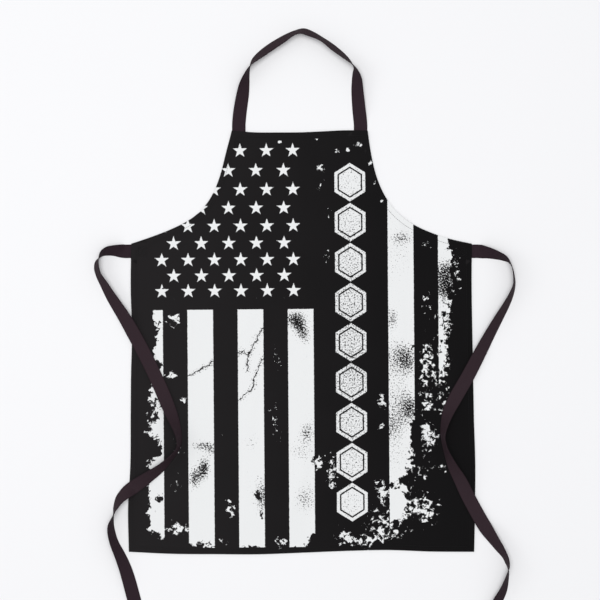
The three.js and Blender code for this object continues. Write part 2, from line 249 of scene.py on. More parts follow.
# %% [markdown]
# A waist tie leaves the side edge near the skirt's upper corner, rolls over as it turns back, runs
# down across the skirt, rolls over again where it turns out, and ends on the table below the hem. A
# rope simulation would settle somewhere else each time, so the route is chosen: its stops are measured
# out and up, in millimetres, from the place where the tie crosses the cloth's side edge.

# %% Waist ties
TIE_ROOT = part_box("left_tie_root")
TIE_Y = (TIE_ROOT[0].y + TIE_ROOT[1].y) / 2
ROOT_PROUD = 2 * MM
WAIST_HALF = -TIE_ROOT[0].x - ROOT_PROUD
HIDDEN_PLACES_MM = (-28, -14, 2)  # of a tie's sewn end, out from the side edge

LEFT_TIE_STOPS = [
    (-11, 0, 0, 0), (-24, 1, 0, -33), (-39, 0, 0, -52), (-46.5, -3.5, 0, -70), (-51.5, -10, 0, -90),
    (-56, -19, 0, -112), (-56.5, -28.5, 0, -118), (-53, -40, 0, -120), (-44.5, -55, 0, -130),
    (-32.5, -76, 1, -143), (-12, -108, 4, -160), (6, -140, 4, -175), (29.5, -185, 4, -180),
    (49.5, -228, 4, -182), (64, -262, 4, -205), (75, -289, 4, -233), (80, -307, 4, -248),
    (80, -323, 4, -256), (74, -334, 4, -254), (62, -347, 4, -245), (47.5, -361, 4, -228),
    (27.5, -375.5, 4, -211), (6, -390.5, 4, -185), (-9, -401.5, 4, -150), (-19, -412, 2, -131),
    (-25.5, -425.5, 0, -112), (-29.5, -439.5, 0, -90), (-33, -454, 0, -70), (-32, -467, 0, -62),
    (-27, -485, 0, -57), (-18, -505, 0, -45), (-9.5, -527, 0, -30), (-3, -549, 0, -18),
    (5, -580, 0, -8), (15, -618, 0, 0), (26, -660, 0, 0)]
RIGHT_TIE_STOPS = [
    (11, 0, 0, 0), (24, -2, 0, 32), (42, -7, 0, 55), (54, -12, 0, 70), (62, -19, 0, 90),
    (66.5, -28, 0, 98), (69, -41, 0, 102), (69.5, -54.5, 0, 106), (65.5, -69.5, 0, 115),
    (57, -88, 0, 125), (45.5, -108.5, 0, 135), (28.5, -139.5, 1, 148), (15.5, -164, 4, 160),
    (-9.5, -212.5, 4, 178), (-28, -244, 4, 195), (-39.5, -266, 4, 218), (-46, -286, 4, 240),
    (-49, -304, 4, 254), (-48, -315, 4, 257), (-43.5, -331, 4, 252), (-32.5, -357, 4, 228),
    (-19.5, -380.5, 4, 204), (-6, -408, 4, 183), (18, -451.5, 4, 181), (33, -474.5, 2, 215),
    (45.5, -492.5, 0.5, 232), (54.5, -506.5, 0, 248), (58.5, -518, 0, 258), (59.5, -525, 0, 270),
    (59, -533.5, 0, 285), (56, -547, 0, 298), (51, -563.5, 0, 313), (43, -580, 0, 324),
    (31, -610, 0, 345), (18, -641, 0, 360), (3, -678, 0, 360)]


def tie_route(side, stops):
    hidden = [(side * out, 0, 0, 0) for out in HIDDEN_PLACES_MM]
    return [
        (side * WAIST_HALF + across * MM, TIE_Y + up * MM, height * MM, roll)
        for across, up, height, roll in [*hidden, *stops]]


left_tie, left_path, left_length = add_tape("left_tie_tape", tie_route(-1, LEFT_TIE_STOPS))
right_tie, right_path, right_length = add_tape("right_tie_tape", tie_route(1, RIGHT_TIE_STOPS))

# %% [markdown]
# The cloth is cut along six edges, anticlockwise: the bottom, the right side, the right armhole, the
# top, the left armhole and the left side. The armholes are cubic Bezier curves. Cloth that has been
# laid down by hand is never quite true, so each edge also wanders a few millimetres in or out of the
# cut, through a handful of chosen offsets.

# %% The outline of the cloth
EDGE_STEP = 3 * MM
FINE_STEPS, LAY_STEPS = 400, 20  # of a curve before it is spaced evenly, and between two offsets
ARMHOLE_DROP, ARMHOLE_SPREAD = 140 * MM, 26 * MM  # of the curve's guide at the bib, from its corner
ARMHOLE_REACH, ARMHOLE_RISE = 106 * MM, 31 * MM  # of its guide at the waist, from that corner
TIE_DROP = 12.5 * MM  # of a tie's middle below the waist's corner
WAIST_Y = TIE_Y + TIE_DROP
BOTTOM_HALF = body_high.x

corner = {
    "bottom left": (-BOTTOM_HALF, BOTTOM_Y), "bottom right": (BOTTOM_HALF, BOTTOM_Y),
    "waist left": (-WAIST_HALF, WAIST_Y), "waist right": (WAIST_HALF, WAIST_Y),
    "bib left": (BIB_MIDDLE - BIB_HALF, TOP_Y), "bib right": (BIB_MIDDLE + BIB_HALF, TOP_Y)}


def armhole_guides(side, bib, waist):
    return (
        (bib[0] + side * ARMHOLE_SPREAD, bib[1] - ARMHOLE_DROP),
        (waist[0] - side * ARMHOLE_REACH, waist[1] + ARMHOLE_RISE))


right_guides = armhole_guides(1, corner["bib right"], corner["waist right"])
left_guides = armhole_guides(-1, corner["bib left"], corner["waist left"])
EDGES = {
    "bottom_hem": [corner["bottom left"], corner["bottom right"]],
    "right_side": [corner["bottom right"], corner["waist right"]],
    "right_armhole": [corner["waist right"], right_guides[1], right_guides[0], corner["bib right"]],
    "top_hem": [corner["bib right"], corner["bib left"]],
    "left_armhole": [corner["bib left"], left_guides[0], left_guides[1], corner["waist left"]],
    "left_side": [corner["waist left"], corner["bottom left"]]}
# How far each edge lies outside its cut, in millimetres, at even steps along it.
LAY = {
    "bottom_hem": (0, 3.4, 4, 4.2, 1.6, -1.3, -2.9, -0.4, 0),
    "right_side": (0, 2, 3, 1.4, 0.6, -0.2, -0.8, 0),
    "right_armhole": (0, -3, -4, -5.4, -5.8, -5, -2.6, 0),
    "top_hem": (0, 0.6, -1.2, -2.8, -3, -2.8, 0),
    "left_armhole": (0, 1.8, 0.6, -0.4, 0.2, 1.6, 1.2, 0),
    "left_side": (0, 0.4, -2.4, -1.3, -1.3, -1.4, 1.8, 0)}


def bezier(guides, t):
    """Points of the straight line or cubic curve that the guides give."""
    guides, degree = np.array(guides, float), len(guides) - 1
    shares = [math.comb(degree, k) * t**k * (1 - t) ** (degree - k) for k in range(degree + 1)]
    return sum(share[:, None] * guide for share, guide in zip(shares, guides))


def lengths_along(line):
    """How far along the line each of its points is."""
    return np.concatenate([[0], np.cumsum(np.linalg.norm(np.diff(line, axis=0), axis=1))])


def spaced(line, count, trim=0):
    """The line again, with that many points evenly along it and its ends trimmed by a length."""
    along = lengths_along(line)
    at = np.linspace(trim, along[-1] - trim, count)
    return np.column_stack([np.interp(at, along, line[:, k]) for k in range(line.shape[1])])


def headings(line):
    way = np.gradient(line, axis=0)
    return way / np.linalg.norm(way, axis=1)[:, None]


def to_left(way):
    return np.stack([-way[..., 1], way[..., 0]], axis=-1)


def edge_line(name):
    """Evenly spaced points along an edge as it lies, from its start to its end."""
    fine = bezier(EDGES[name], np.linspace(0, 1, FINE_STEPS))
    line = spaced(fine, round(lengths_along(fine)[-1] / EDGE_STEP) + 1)
    lay = smooth([[offset * MM] for offset in LAY[name]], LAY_STEPS, centripetal=False)[:, 0]
    lay = np.interp(np.linspace(0, len(lay) - 1, len(line)), np.arange(len(lay)), lay)
    return line - lay[:, None] * to_left(headings(line))


edge_lines = {name: edge_line(name) for name in EDGES}
outline = np.vstack([line[:-1] for line in edge_lines.values()])
after = np.roll(outline, -1, axis=0)

# %% [markdown]
# One function says how high the cloth's lower face lies at any place. It adds up what lifts it: a
# little air under the whole sheet, the turned hem under its border, the sewn tape ends, and long soft
# folds left from when the apron was folded away. Sheets are often dropped by cloth simulation, but one
# that lies flat has nothing to fall into. Here a fold is a smooth ridge along a line; it fades out at
# both ends, and a negative one is a hollow between two others.

# %% The height of the cloth
CLOTH = 0.4 * MM
HEM_THICK = 1.5 * MM
CLEARANCE = 0.15 * MM  # of the lowest places of the cloth, off the table
AIR = 0.9 * MM  # more than that under the field
HEM_CLIMB = (13 * MM, 9.5 * MM)  # from the edge: where the cloth starts to rise over the hem, and ends
SEWN_FALL = (7 * MM, 0.5 * MM)  # outside a sewn tape end: where the cloth is down again, and starts
SEWN_GAP = 0.1 * MM
FOLD_FADE = 0.35  # share of a fold's length, on both sides of each end, over which it fades
HEM_HOLD = 0.6  # share of a fold's height that the hem holds down
SEWN_NODES = ("neck_strap_left_end", "neck_strap_right_end", "left_tie_root", "right_tie_root")
# Each fold: start x, y, end x, y, half its width and its height, in millimetres.
FOLDS = [
    (-24, -446, 18, -316, 12, 2.0), (6, -466, 34, -352, 10, -0.9), (24, -380, 58, -276, 11, 1.8),
    (-58, -320, -50, -250, 13, 1.3), (-170, -350, -160, -270, 12, 1.2), (-92, -310, -80, -240, 12, 1.1),
    (-128, -340, -120, -160, 15, 1.2), (-200, -420, -184, -300, 15, 1.0), (152, 18, 188, 84, 11, 2.8),
    (-80, 60, -74, 185, 13, 1.4), (-10, 40, -6, 190, 13, 1.4), (46, 60, 40, 185, 12, 1.1),
    (-46, 20, -40, 160, 10, -0.7), (150, 10, 190, -60, 17, 1.3), (120, -180, 112, -40, 13, 1.1),
    (-236, -90, -252, -20, 17, 1.5), (-230, -250, -226, -130, 15, 0.9), (112, -430, 104, -260, 13, 1.1),
    (200, -330, 186, -150, 15, 1.0), (-150, -480, -146, -380, 13, 1.0), (60, -490, 72, -420, 13, 1.1),
    (232, -480, 240, -380, 15, 1.0), (-40, -180, -30, -60, 15, 0.9), (-150, 30, -110, 110, 17, 1.2),
    (80, 90, 96, 170, 12, 1.1), (-90, -150, -84, 0, 15, 0.9), (168, -200, 160, -90, 12, 1.1)]


def ease(value, low, high):
    """0 up to low, 1 from high, and a smooth rise between them; low may be the larger."""
    t = np.clip((value - low) / (high - low), 0, 1)
    return t * t * (3 - 2 * t)


def edge_distance(points):
    """How far each point is from the outline."""
    best = np.full(len(points), np.inf)
    for a, b in zip(outline, after):
        way = b - a
        t = np.clip((points - a) @ way / (way @ way), 0, 1)
        best = np.minimum(best, np.hypot(*(points - a - t[:, None] * way).T))
    return best


def fold_height(points):
    """The sum of all the folds at each point."""
    total = np.zeros(len(points))
    for x0, y0, x1, y1, wide, high in np.array(FOLDS) * MM:
        start, way = np.array([x0, y0]), np.array([x1 - x0, y1 - y0])
        along = (points - start) @ way / (way @ way)
        off = (points - start) @ np.array([-way[1], way[0]]) / np.hypot(*way)
        fade = ease(along, -FOLD_FADE, FOLD_FADE) * ease(along, 1 + FOLD_FADE, 1 - FOLD_FADE)
        total += high * np.exp(-((off / wide) ** 2)) * fade
    return total


def over_sewn_ends(points):
    """1 over a sewn tape end, easing to 0 within a few millimetres of it."""
    best = np.zeros(len(points))
    for node in SEWN_NODES:
        low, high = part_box(node)
        outside = np.maximum(np.maximum(np.array(low.xy) - points, points - np.array(high.xy)), 0)
        best = np.maximum(best, ease(np.hypot(*outside.T), *SEWN_FALL))
    return best


def under_cloth(points, distance=None):
    """The height of the cloth's lower face above the table."""
    points = np.array(points, float)
    distance = edge_distance(points) if distance is None else distance
    over_hem = ease(distance, *HEM_CLIMB)
    folds = fold_height(points)
    return (
        CLEARANCE + AIR * (1 - over_hem) + HEM_THICK * over_hem
        + (TAPE + SEWN_GAP) * over_sewn_ends(points) + folds * (1 - HEM_HOLD * over_hem))


print(f"the tallest of {len(FOLDS)} folds rises {max(fold[-1] for fold in FOLDS)} mm")

# %% [markdown]
# A laid sheet can be a plain grid only if its edges are straight, and here the hem has to run cleanly
# round the armholes. So the border is built as rings that step inwards from the outline, close together
# where the cloth climbs over the hem, and the field inside the last ring is filled by a Delaunay
# triangulation of evenly spaced points. Solidify then gives the sheet its thickness.

# %% The cloth
RING_INSETS_MM = (0, 0.4, 1.5, 4, 7, 8.5, 9.6, 10.6, 11.8, 13.2, 16)
FIELD_STEP = 5 * MM


def inset_lines(distance):
    """Each edge line moved inwards, cut back to the mitred corners and spaced evenly again."""
    lines = list(edge_lines.values())
    ways = [headings(line) for line in lines]
    corners = []
    for line, way, next_way in zip(lines, ways, ways[1:] + ways[:1]):
        a, b = to_left(way[-1]), to_left(next_way[0])
        corners.append(line[-1] + distance * (a + b) / (1 + a @ b))
    moved_lines = []
    for line, way, start, end in zip(lines, ways, corners[-1:] + corners[:-1], corners):
        moved = line + distance * to_left(way)
        between = ((moved - start) @ way[0] > 0) & ((moved - end) @ way[-1] < 0)
        moved_lines.append(spaced(np.vstack([start, moved[between], end]), len(line)))
    return dict(zip(edge_lines, moved_lines))


def inset_ring(distance):
    return np.vstack([line[:-1] for line in inset_lines(distance).values()])


def inside(points, loop):
    """Whether each point is inside a closed loop."""
    found = np.zeros(len(points), bool)
    x, y = points.T
    for (ax, ay), (bx, by) in zip(loop, np.roll(loop, -1, axis=0)):
        crosses = (ay > y) != (by > y)
        found ^= crosses & (x < (bx - ax) * (y - ay) / (by - ay + 1e-12) + ax)
    return found


def cloth_layout():
    """Flat points and faces of the sheet, and each point's distance from the edge."""
    rings = [inset_ring(distance * MM) for distance in RING_INSETS_MM]
    count, last = len(outline), rings[-1]
    rows = np.arange(BOTTOM_Y, TOP_Y, FIELD_STEP * math.sqrt(3) / 2)
    grid = np.array([
        (x + (row % 2) * FIELD_STEP / 2, y)
        for row, y in enumerate(rows) for x in np.arange(-BOTTOM_HALF, BOTTOM_HALF, FIELD_STEP)])
    field = grid[inside(grid, last)]
    field = field[edge_distance(field) > RING_INSETS_MM[-1] * MM + FIELD_STEP / 2]
    print(f"{len(rings)} rings of {count} points and {len(field)} points in the field")

    flat = np.vstack([last, field])
    loop = list(range(count))
    filled = delaunay_2d_cdt([Vector(p) for p in flat], [], [loop], 1, 1e-7)
    origin = {new: old[0] for new, old in enumerate(filled[3])}
    base = (len(rings) - 1) * count
    faces = bands(len(rings), count)
    faces += [tuple(base + origin[v] for v in face) for face in filled[2]]
    points = np.vstack([*rings[:-1], flat])
    distance = np.concatenate([
        np.repeat(np.array(RING_INSETS_MM) * MM, count), edge_distance(field)])
    return points, faces, distance


cloth_points, cloth_faces, cloth_inset = cloth_layout()
heights = under_cloth(cloth_points, cloth_inset) + CLOTH
cloth = add_mesh("apron_cloth", np.column_stack([cloth_points, heights]), cloth_faces)
print(f"apron_cloth: {len(cloth_faces)} faces, up to {heights.max() / MM:.1f} mm off the table")

# %% [markdown]
# The cloth's UV map is its flat cut in metres, so the print lies on the cut and follows the folds.
# Solidify thickens the sheet downwards, and its second material slot is the cloth's reverse.

# %% The cloth's map and thickness


def select_only(piece):
    bpy.ops.object.select_all(action="DESELECT")
    piece.select_set(True)
    bpy.context.view_layer.objects.active = piece


def apply_modifier(piece, kind, **settings):
    select_only(piece)
    modifier = piece.modifiers.new(kind.title(), kind)
    for name, value in settings.items():
        setattr(modifier, name, value)
    bpy.ops.object.modifier_apply(modifier=modifier.name)


def smooth_shading(piece, degrees=40):
    select_only(piece)
    bpy.ops.object.shade_smooth_by_angle(angle=math.radians(degrees))


def map_flat(piece, name):
    """A UV map that holds each point's own X and Y, in metres."""
    uv = piece.data.uv_layers.new(name=name).data
    for loop in piece.data.loops:
        uv[loop.index].uv = piece.data.vertices[loop.vertex_index].co.xy


map_flat(cloth, "flat_cut")
apply_modifier(cloth, "SOLIDIFY", thickness=CLOTH, offset=-1, material_offset=1, material_offset_rim=0)
smooth_shading(cloth)
print(f"apron_cloth: {len(cloth.data.polygons)} faces with its thickness")

# %% [markdown]
# The edge of the cloth is turned twice to the back, which makes a soft flat bar behind the border.
# Folding the sheet itself would put three layers within two millimetres, where they cut into each other
# at the armholes. So each hem is a bar of its own, swept along its edge from a section with a full round
# on the outside, where the cloth folds over, and a flatter one inside. Its top follows the lower face
# of the cloth.

# %% Hems
# Round the section: the distance in from the edge in millimetres, and the share of the thickness.
HEM_SECTION = [
    (1.1, 0), (0.3, 0.18), (0.02, 0.5), (0.25, 0.84), (0.9, 1), (5, 1), (9.3, 1), (9.9, 0.72), (9.9, 0.3),
    (9.4, 0), (5, 0)]
HEM_END_GAP = 0.4 * MM
HEM_GAP = 0.03 * MM  # under the cloth
HEM_SHARE = 0.95  # of the border's rise that the hem fills


def add_hem(name, edge):
    """The turned edge as a closed bar, swept along the edge."""
    lines = [inset_lines(inset * MM)[edge] for inset, _ in HEM_SECTION]
    count, sides = len(lines[0]), len(HEM_SECTION)
    for line in lines:
        for end, neighbour in ((0, 1), (-1, -2)):
            way = line[neighbour] - line[end]
            line[end] += way / np.linalg.norm(way) * HEM_END_GAP
    places = np.stack(lines, axis=1)
    tops = under_cloth(places.reshape(-1, 2)).reshape(count, sides).max(axis=1) - HEM_GAP
    points = [
        (*place, top - HEM_THICK * HEM_SHARE * (1 - share))
        for across, top in zip(places, tops) for place, (_, share) in zip(across, HEM_SECTION)]
    piece = add_mesh(name, points, closed_bands(count, sides))
    select_only(piece)
    bpy.ops.object.mode_set(mode="EDIT")
    bpy.ops.mesh.select_all(action="SELECT")
    bpy.ops.mesh.normals_make_consistent(inside=False)
    bpy.ops.object.mode_set(mode="OBJECT")
    smooth_shading(piece, 50)
    map_flat(piece, "flat_cut")
    return piece


HEM_NODES = {
    "bottom_hem": "bottom_hem", "right_side_hem": "right_side", "right_armhole_hem": "right_armhole",
    "top_hem": "top_hem", "left_armhole_hem": "left_armhole", "left_side_hem": "left_side"}
hems = {node: add_hem(f"turned_{node}", edge) for node, edge in HEM_NODES.items()}
print(len(hems), "hems")

# %% [markdown]
# A lockstitch shows as a row of short threads with a dip between them. One stitch is modelled from a
# sphere drawn out to a thread's shape, and a row is that stitch copied along a line into one mesh.

# %% One stitch
STITCH_LENGTH, STITCH_PITCH = 2.7 * MM, 3.2 * MM
THREAD = 0.55 * MM
THREAD_RISE = THREAD * 0.2  # of a stitch's middle above the cloth it lies in

bpy.ops.object.select_all(action="DESELECT")
bpy.ops.mesh.primitive_uv_sphere_add(segments=6, ring_count=5, radius=1, rotation=(0, math.pi / 2, 0))
stitch = bpy.context.object
bpy.ops.object.transform_apply(rotation=True)
bpy.ops.object.mode_set(mode="EDIT")
bpy.ops.mesh.select_all(action="SELECT")
bpy.ops.transform.resize(value=(STITCH_LENGTH / 2, THREAD / 2, THREAD / 2))
bpy.ops.object.mode_set(mode="OBJECT")
stitch_points = np.array([v.co for v in stitch.data.vertices])
stitch_faces = [tuple(p.vertices) for p in stitch.data.polygons]
bpy.data.objects.remove(stitch)
print("one stitch has", len(stitch_faces), "faces")

# %% [markdown]
# Each turned edge is held by one row of stitches, 8.5 mm in from the fold. An array modifier on a curve
# would stretch the stitches at the bends, so each copy is turned to its own stretch of the line and
# laid on the cloth. The armholes' rows stop short at both ends, where the tapes are sewn in.

# %% Rows of stitches


def add_stitches(name, lines):
    """Stitches along each of several lines, as one piece."""
    points, faces = [], []
    for line in lines:
        line = np.array(line, float)
        count = max(2, round(lengths_along(line)[-1] / STITCH_PITCH))
        ends = spaced(line, count * 2 + 1)
        for middle, before, behind in zip(ends[1::2], ends[0::2], ends[2::2]):
            way = (behind - before) / np.linalg.norm(behind - before)
            side = np.cross((0, 0, 1), way)
            side /= np.linalg.norm(side)
            turned = stitch_points @ np.array([way, side, np.cross(way, side)])
            faces += [tuple(v + len(points) for v in face) for face in stitch_faces]
            points += list(turned + middle)
    piece = add_mesh(name, points, faces)
    shade_round(piece)
    return piece


def on_cloth(line):
    """The line laid on the cloth's face."""
    return np.column_stack([line, under_cloth(line) + CLOTH + THREAD_RISE])


ROW_INSET, ROW_TRIM = 8.5 * MM, 2 * MM
ROW_TRIMS = {
    "top_hem": ROW_TRIM, "bottom_hem": ROW_TRIM, "left_side": ROW_TRIM, "right_side": ROW_TRIM,
    "left_armhole": SEWN_LENGTH, "right_armhole": SEWN_LENGTH}


def add_row(edge, trim):
    line = inset_lines(ROW_INSET)[edge]
    return add_stitches(f"{edge}_thread", [on_cloth(spaced(line, len(line), trim))])


rows = {f"{edge}_stitching": add_row(edge, trim) for edge, trim in ROW_TRIMS.items()}
print(len(rows), "rows of stitches")

# %% [markdown]
# Where a tape is sewn in, the machine goes round a square and then across both ways. It is the same
# stitch again, along the square's four sides and its two diagonals.

# %% Crossed boxes of stitches
BOX_NODES = ("neck_left_box_stitch", "neck_right_box_stitch", "left_tie_box_stitch", "right_tie_box_stitch")


def add_box_stitch(node):
    """A square of stitches with a cross inside it."""
    low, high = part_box(node)
    x0, y0, x1, y1 = low.x + THREAD, low.y + THREAD, high.x - THREAD, high.y - THREAD
    a, b, c, d = (x0, y0), (x1, y0), (x1, y1), (x0, y1)
    lines = [np.linspace(p, q, 8) for p, q in ((a, b), (b, c), (c, d), (d, a), (a, c), (b, d))]
    return add_stitches(node.replace("box_stitch", "cross_box"), [on_cloth(line) for line in lines])


boxes = {node: add_box_stitch(node) for node in BOX_NODES}
print(len(boxes), "crossed boxes of stitches")

# %% [markdown]
# The end of a tie is turned back on itself and stitched, so that it doesn't fray. The turned flap
# starts as a plane on top of the tie's end; spinning its outer edge half round an axis just past the
# tip makes the fold, and Solidify gives it the tape's thickness.

# %% Turned ends of the ties
END_FOLD = 12 * MM
END_ROW_INSET = 4 * MM  # of the row of stitches, from the flap's raw edge
END_ROW_MARGIN = 1.5 * MM  # of the row's ends, from the tape's edges
FOLD_GAP = 0.15 * MM  # between the tape and the flap
FLAP_WIDTH = TAPE_WIDTH * 0.985
FOLD_STEPS = 8
FLAP_EASE = 0.25 * MM  # of the flap's edges, rounded off


def add_end_fold(name, path):
    """The turned flap on a tie's end, and its row of stitches."""
    tip, way = Vector(path[-1]), Vector(path[-1] - path[-6])
    way.z = 0
    way.normalize()
    turn = math.atan2(way.y, way.x)
    side = Vector((-way.y, way.x, 0))
    flap_z = tip.z + TAPE + FOLD_GAP
    middle = tip - way * END_FOLD / 2
    bpy.ops.object.select_all(action="DESELECT")
    bpy.ops.mesh.primitive_plane_add(size=1, location=(middle.x, middle.y, flap_z), rotation=(0, 0, turn))
    piece = bpy.context.object
    piece.name = piece.data.name = name
    piece.scale = (END_FOLD, FLAP_WIDTH, 1)
    bpy.ops.object.transform_apply(location=True, rotation=True, scale=True)
    bpy.ops.object.mode_set(mode="EDIT")
    bpy.ops.mesh.select_mode(type="EDGE")
    bpy.ops.mesh.select_all(action="DESELECT")
    bpy.ops.object.mode_set(mode="OBJECT")
    for edge in piece.data.edges:
        edge.select = all(
            (piece.data.vertices[v].co - tip).dot(way) > -END_FOLD / 2 for v in edge.vertices)
    bpy.ops.object.mode_set(mode="EDIT")
    pivot = (tip.x, tip.y, (tip.z + flap_z) / 2)
    bpy.ops.mesh.spin(steps=FOLD_STEPS, angle=math.pi, center=pivot, axis=-side)
    bpy.ops.object.mode_set(mode="OBJECT")
    reach = max((v.co - tip).dot(way) for v in piece.data.vertices)
    print(f"{name} reaches {reach / MM:.2f} mm past the tip")
    apply_modifier(piece, "SOLIDIFY", thickness=TAPE, offset=0)
    apply_modifier(piece, "BEVEL", width=FLAP_EASE, segments=2, limit_method="ANGLE")
    smooth_shading(piece)
    uv = piece.data.uv_layers.active.data
    for loop in piece.data.loops:
        place = piece.data.vertices[loop.vertex_index].co - tip
        uv[loop.index].uv = (place.dot(side), place.dot(way))
    row_middle = tip - way * (END_FOLD - END_ROW_INSET)
    half = TAPE_WIDTH / 2 - END_ROW_MARGIN
    ends = [row_middle + side * half, row_middle - side * half]
    row = [(p.x, p.y, flap_z + TAPE / 2 + THREAD_RISE) for p in ends]
    return piece, add_stitches(f"{name}_thread", [np.linspace(row[0], row[1], 8)])


left_fold, left_row = add_end_fold("left_tie_turned_end", left_path)
right_fold, right_row = add_end_fold("right_tie_turned_end", right_path)
print("turned ends:", left_fold.name, right_fold.name)

# %% [markdown]
# The finishes are sums of a few patterns, worked out by nodes: a painted picture would need an image
# file and would blur close up. Written as nodes one by one they are hard to read, so a small helper
# turns ordinary Python sums into Math nodes.

# %% Sums inside a material


class Sum:
    """A value inside a material's node tree; adding, subtracting and so on makes Math nodes."""

    def __init__(self, tree, socket):
        self.tree, self.socket = tree, socket

    def use(self, operation, *others):
        node = self.tree.nodes.new("ShaderNodeMath")
        node.operation = operation
        for slot, value in zip(node.inputs, (self, *others)):
            connect(self.tree, value, slot)
        return Sum(self.tree, node.outputs[0])

    def __add__(self, other):
        return self.use("ADD", other)

    def __sub__(self, other):
        return self.use("SUBTRACT", other)

    def __rsub__(self, other):
        return self.use("MULTIPLY", -1) + other

    def __mul__(self, other):
        return self.use("MULTIPLY", other)

    def __truediv__(self, other):
        return self.use("DIVIDE", other)

    def size(self):
        return self.use("ABSOLUTE")

    def nearest_whole(self):
        return self.use("ROUND")

    def at_least(self, other):
        return self.use("MAXIMUM", other)

    def at_most(self, other):
        return self.use("MINIMUM", other)

    def rising(self, low, high):
        """0 up to low, 1 from high, and a smooth rise between them."""
        node = self.tree.nodes.new("ShaderNodeMapRange")
        node.interpolation_type = "SMOOTHSTEP"
        connect(self.tree, self, node.inputs["Value"])
        node.inputs["From Min"].default_value = low
        node.inputs["From Max"].default_value = high
        return Sum(self.tree, node.outputs["Result"])


def connect(tree, value, slot):
    if isinstance(value, Sum):
        tree.links.new(value.socket, slot)
    else:
        slot.default_value = value


# %% Places and patterns inside a material


def uv_place(tree, name):
    """The two coordinates of a UV map, and the map's own vector."""
    uv = tree.nodes.new("ShaderNodeUVMap")
    uv.uv_map = name
    split = tree.nodes.new("ShaderNodeSeparateXYZ")
    tree.links.new(uv.outputs["UV"], split.inputs[0])
    return Sum(tree, split.outputs[0]), Sum(tree, split.outputs[1]), uv.outputs["UV"]


def noise(tree, vector, per_metre, detail=2, roughness=0.5, distortion=0):
    node = tree.nodes.new("ShaderNodeTexNoise")
    tree.links.new(vector, node.inputs["Vector"])
    node.inputs["Scale"].default_value = per_metre
    node.inputs["Detail"].default_value = detail
    node.inputs["Roughness"].default_value = roughness
    node.inputs["Distortion"].default_value = distortion
    return Sum(tree, node.outputs["Fac"])


def carried(tree, name):
    """A value that the mesh carries at its points."""
    node = tree.nodes.new("ShaderNodeAttribute")
    node.attribute_name = name
    return Sum(tree, node.outputs["Fac"])


def mixed(tree, share, first, second):
    """The second colour laid over the first by that share."""
    node = tree.nodes.new("ShaderNodeMix")
    node.data_type = "RGBA"
    connect(tree, share, node.inputs["Factor"])
    for slot, colour in ((node.inputs[6], first), (node.inputs[7], second)):
        if isinstance(colour, bpy.types.NodeSocket):
            tree.links.new(colour, slot)
        else:
            slot.default_value = colour
    return node.outputs[2]


# %% Materials and their surfaces


def finish(name, roughness, specular):
    """A new material, its node tree and its shader."""
    material = bpy.data.materials.new(name)
    material.use_nodes = True
    tree = material.node_tree
    shader = tree.nodes["Principled BSDF"]
    shader.inputs["Roughness"].default_value = roughness
    shader.inputs["Specular IOR Level"].default_value = specular
    return material, tree, shader


def raise_surface(tree, shader, height, distance):
    """Bump from a height between 0 and 1, for a relief of that many metres."""
    bump = tree.nodes.new("ShaderNodeBump")
    bump.inputs["Distance"].default_value = distance
    connect(tree, height, bump.inputs["Height"])
    tree.links.new(bump.outputs["Normal"], shader.inputs["Normal"])


def shade(*parts):
    """The red, green and blue of an sRGB colour, 0 to 255, as the linear colour that a shader takes."""
    return (*[c / 255 / 12.92 if c < 11 else ((c / 255 + 0.055) / 1.055) ** 2.4 for c in parts], 1)


print("black cloth is", [round(part, 4) for part in shade(16, 15, 16)[:3]], "as a linear colour")

# %% [markdown]
# Plain weave is a checkerboard of threads that pass over and under each other. The threads are far too
# many to model, so two sine waves, one along each set of threads, give the height of that surface for
# bump, at 16 threads to the centimetre.

# %% Plain weave
THREADS_PER_METRE = 1600
WEAVE_RELIEF = 0.12 * MM


def plain_weave(tree, across, along):
    over = (across * (THREADS_PER_METRE * math.pi)).use("SINE")
    under = (along * (THREADS_PER_METRE * math.pi)).use("SINE")
    return over * under * 0.5 + 0.5


print(f"one thread every {1 / THREADS_PER_METRE / MM:.3f} mm")

# %% [markdown]
# The print: worn white stripes, a field of plain stars in staggered rows, and a column of nine
# six-sided cells, one to each place of the column. Each shape is written as a distance, in millimetres,
# that is positive inside it, so that one noise can roughen all the edges alike.

# %% Stripes
PRINT_LEAN = 0.0078  # the print is turned this much off the grain
FIRST_STRIPE, STRIPE_PITCH, STRIPE_HALF = -252.8, 83.5, 21.3
STRIPE_TOP, STRIPE_BOTTOM = -96.5, -492
COLUMN_STRIPE = 4  # the column of cells stands where this stripe would be, counted from 0
COLUMN_MIDDLE = FIRST_STRIPE + COLUMN_STRIPE * STRIPE_PITCH


def stripes(u, v):
    """Stripes that start below the stars on the left of the column, and at the cloth's top on its right."""
    turn = (u - FIRST_STRIPE) / STRIPE_PITCH
    across = STRIPE_HALF - ((turn - turn.nearest_whole()) * STRIPE_PITCH).size()
    low = v - STRIPE_BOTTOM
    left = across.at_most(STRIPE_TOP - v).at_most((COLUMN_MIDDLE - STRIPE_PITCH / 2) - u)
    right = across.at_most(u - (COLUMN_MIDDLE + STRIPE_PITCH / 2))
    return left.at_least(right).at_most(low)


print(f"the column's middle is at {COLUMN_MIDDLE:.1f} mm")

# %% Cells
CELL_TOP, CELL_PITCH, CELL_HALF_WIDTH, CELL_HALF_HEIGHT = 147, 66.5, 25.5, 32
CELLS = 9
CELL_LINE = (5, 7.5)  # a thin unprinted line runs round inside each cell, between these depths


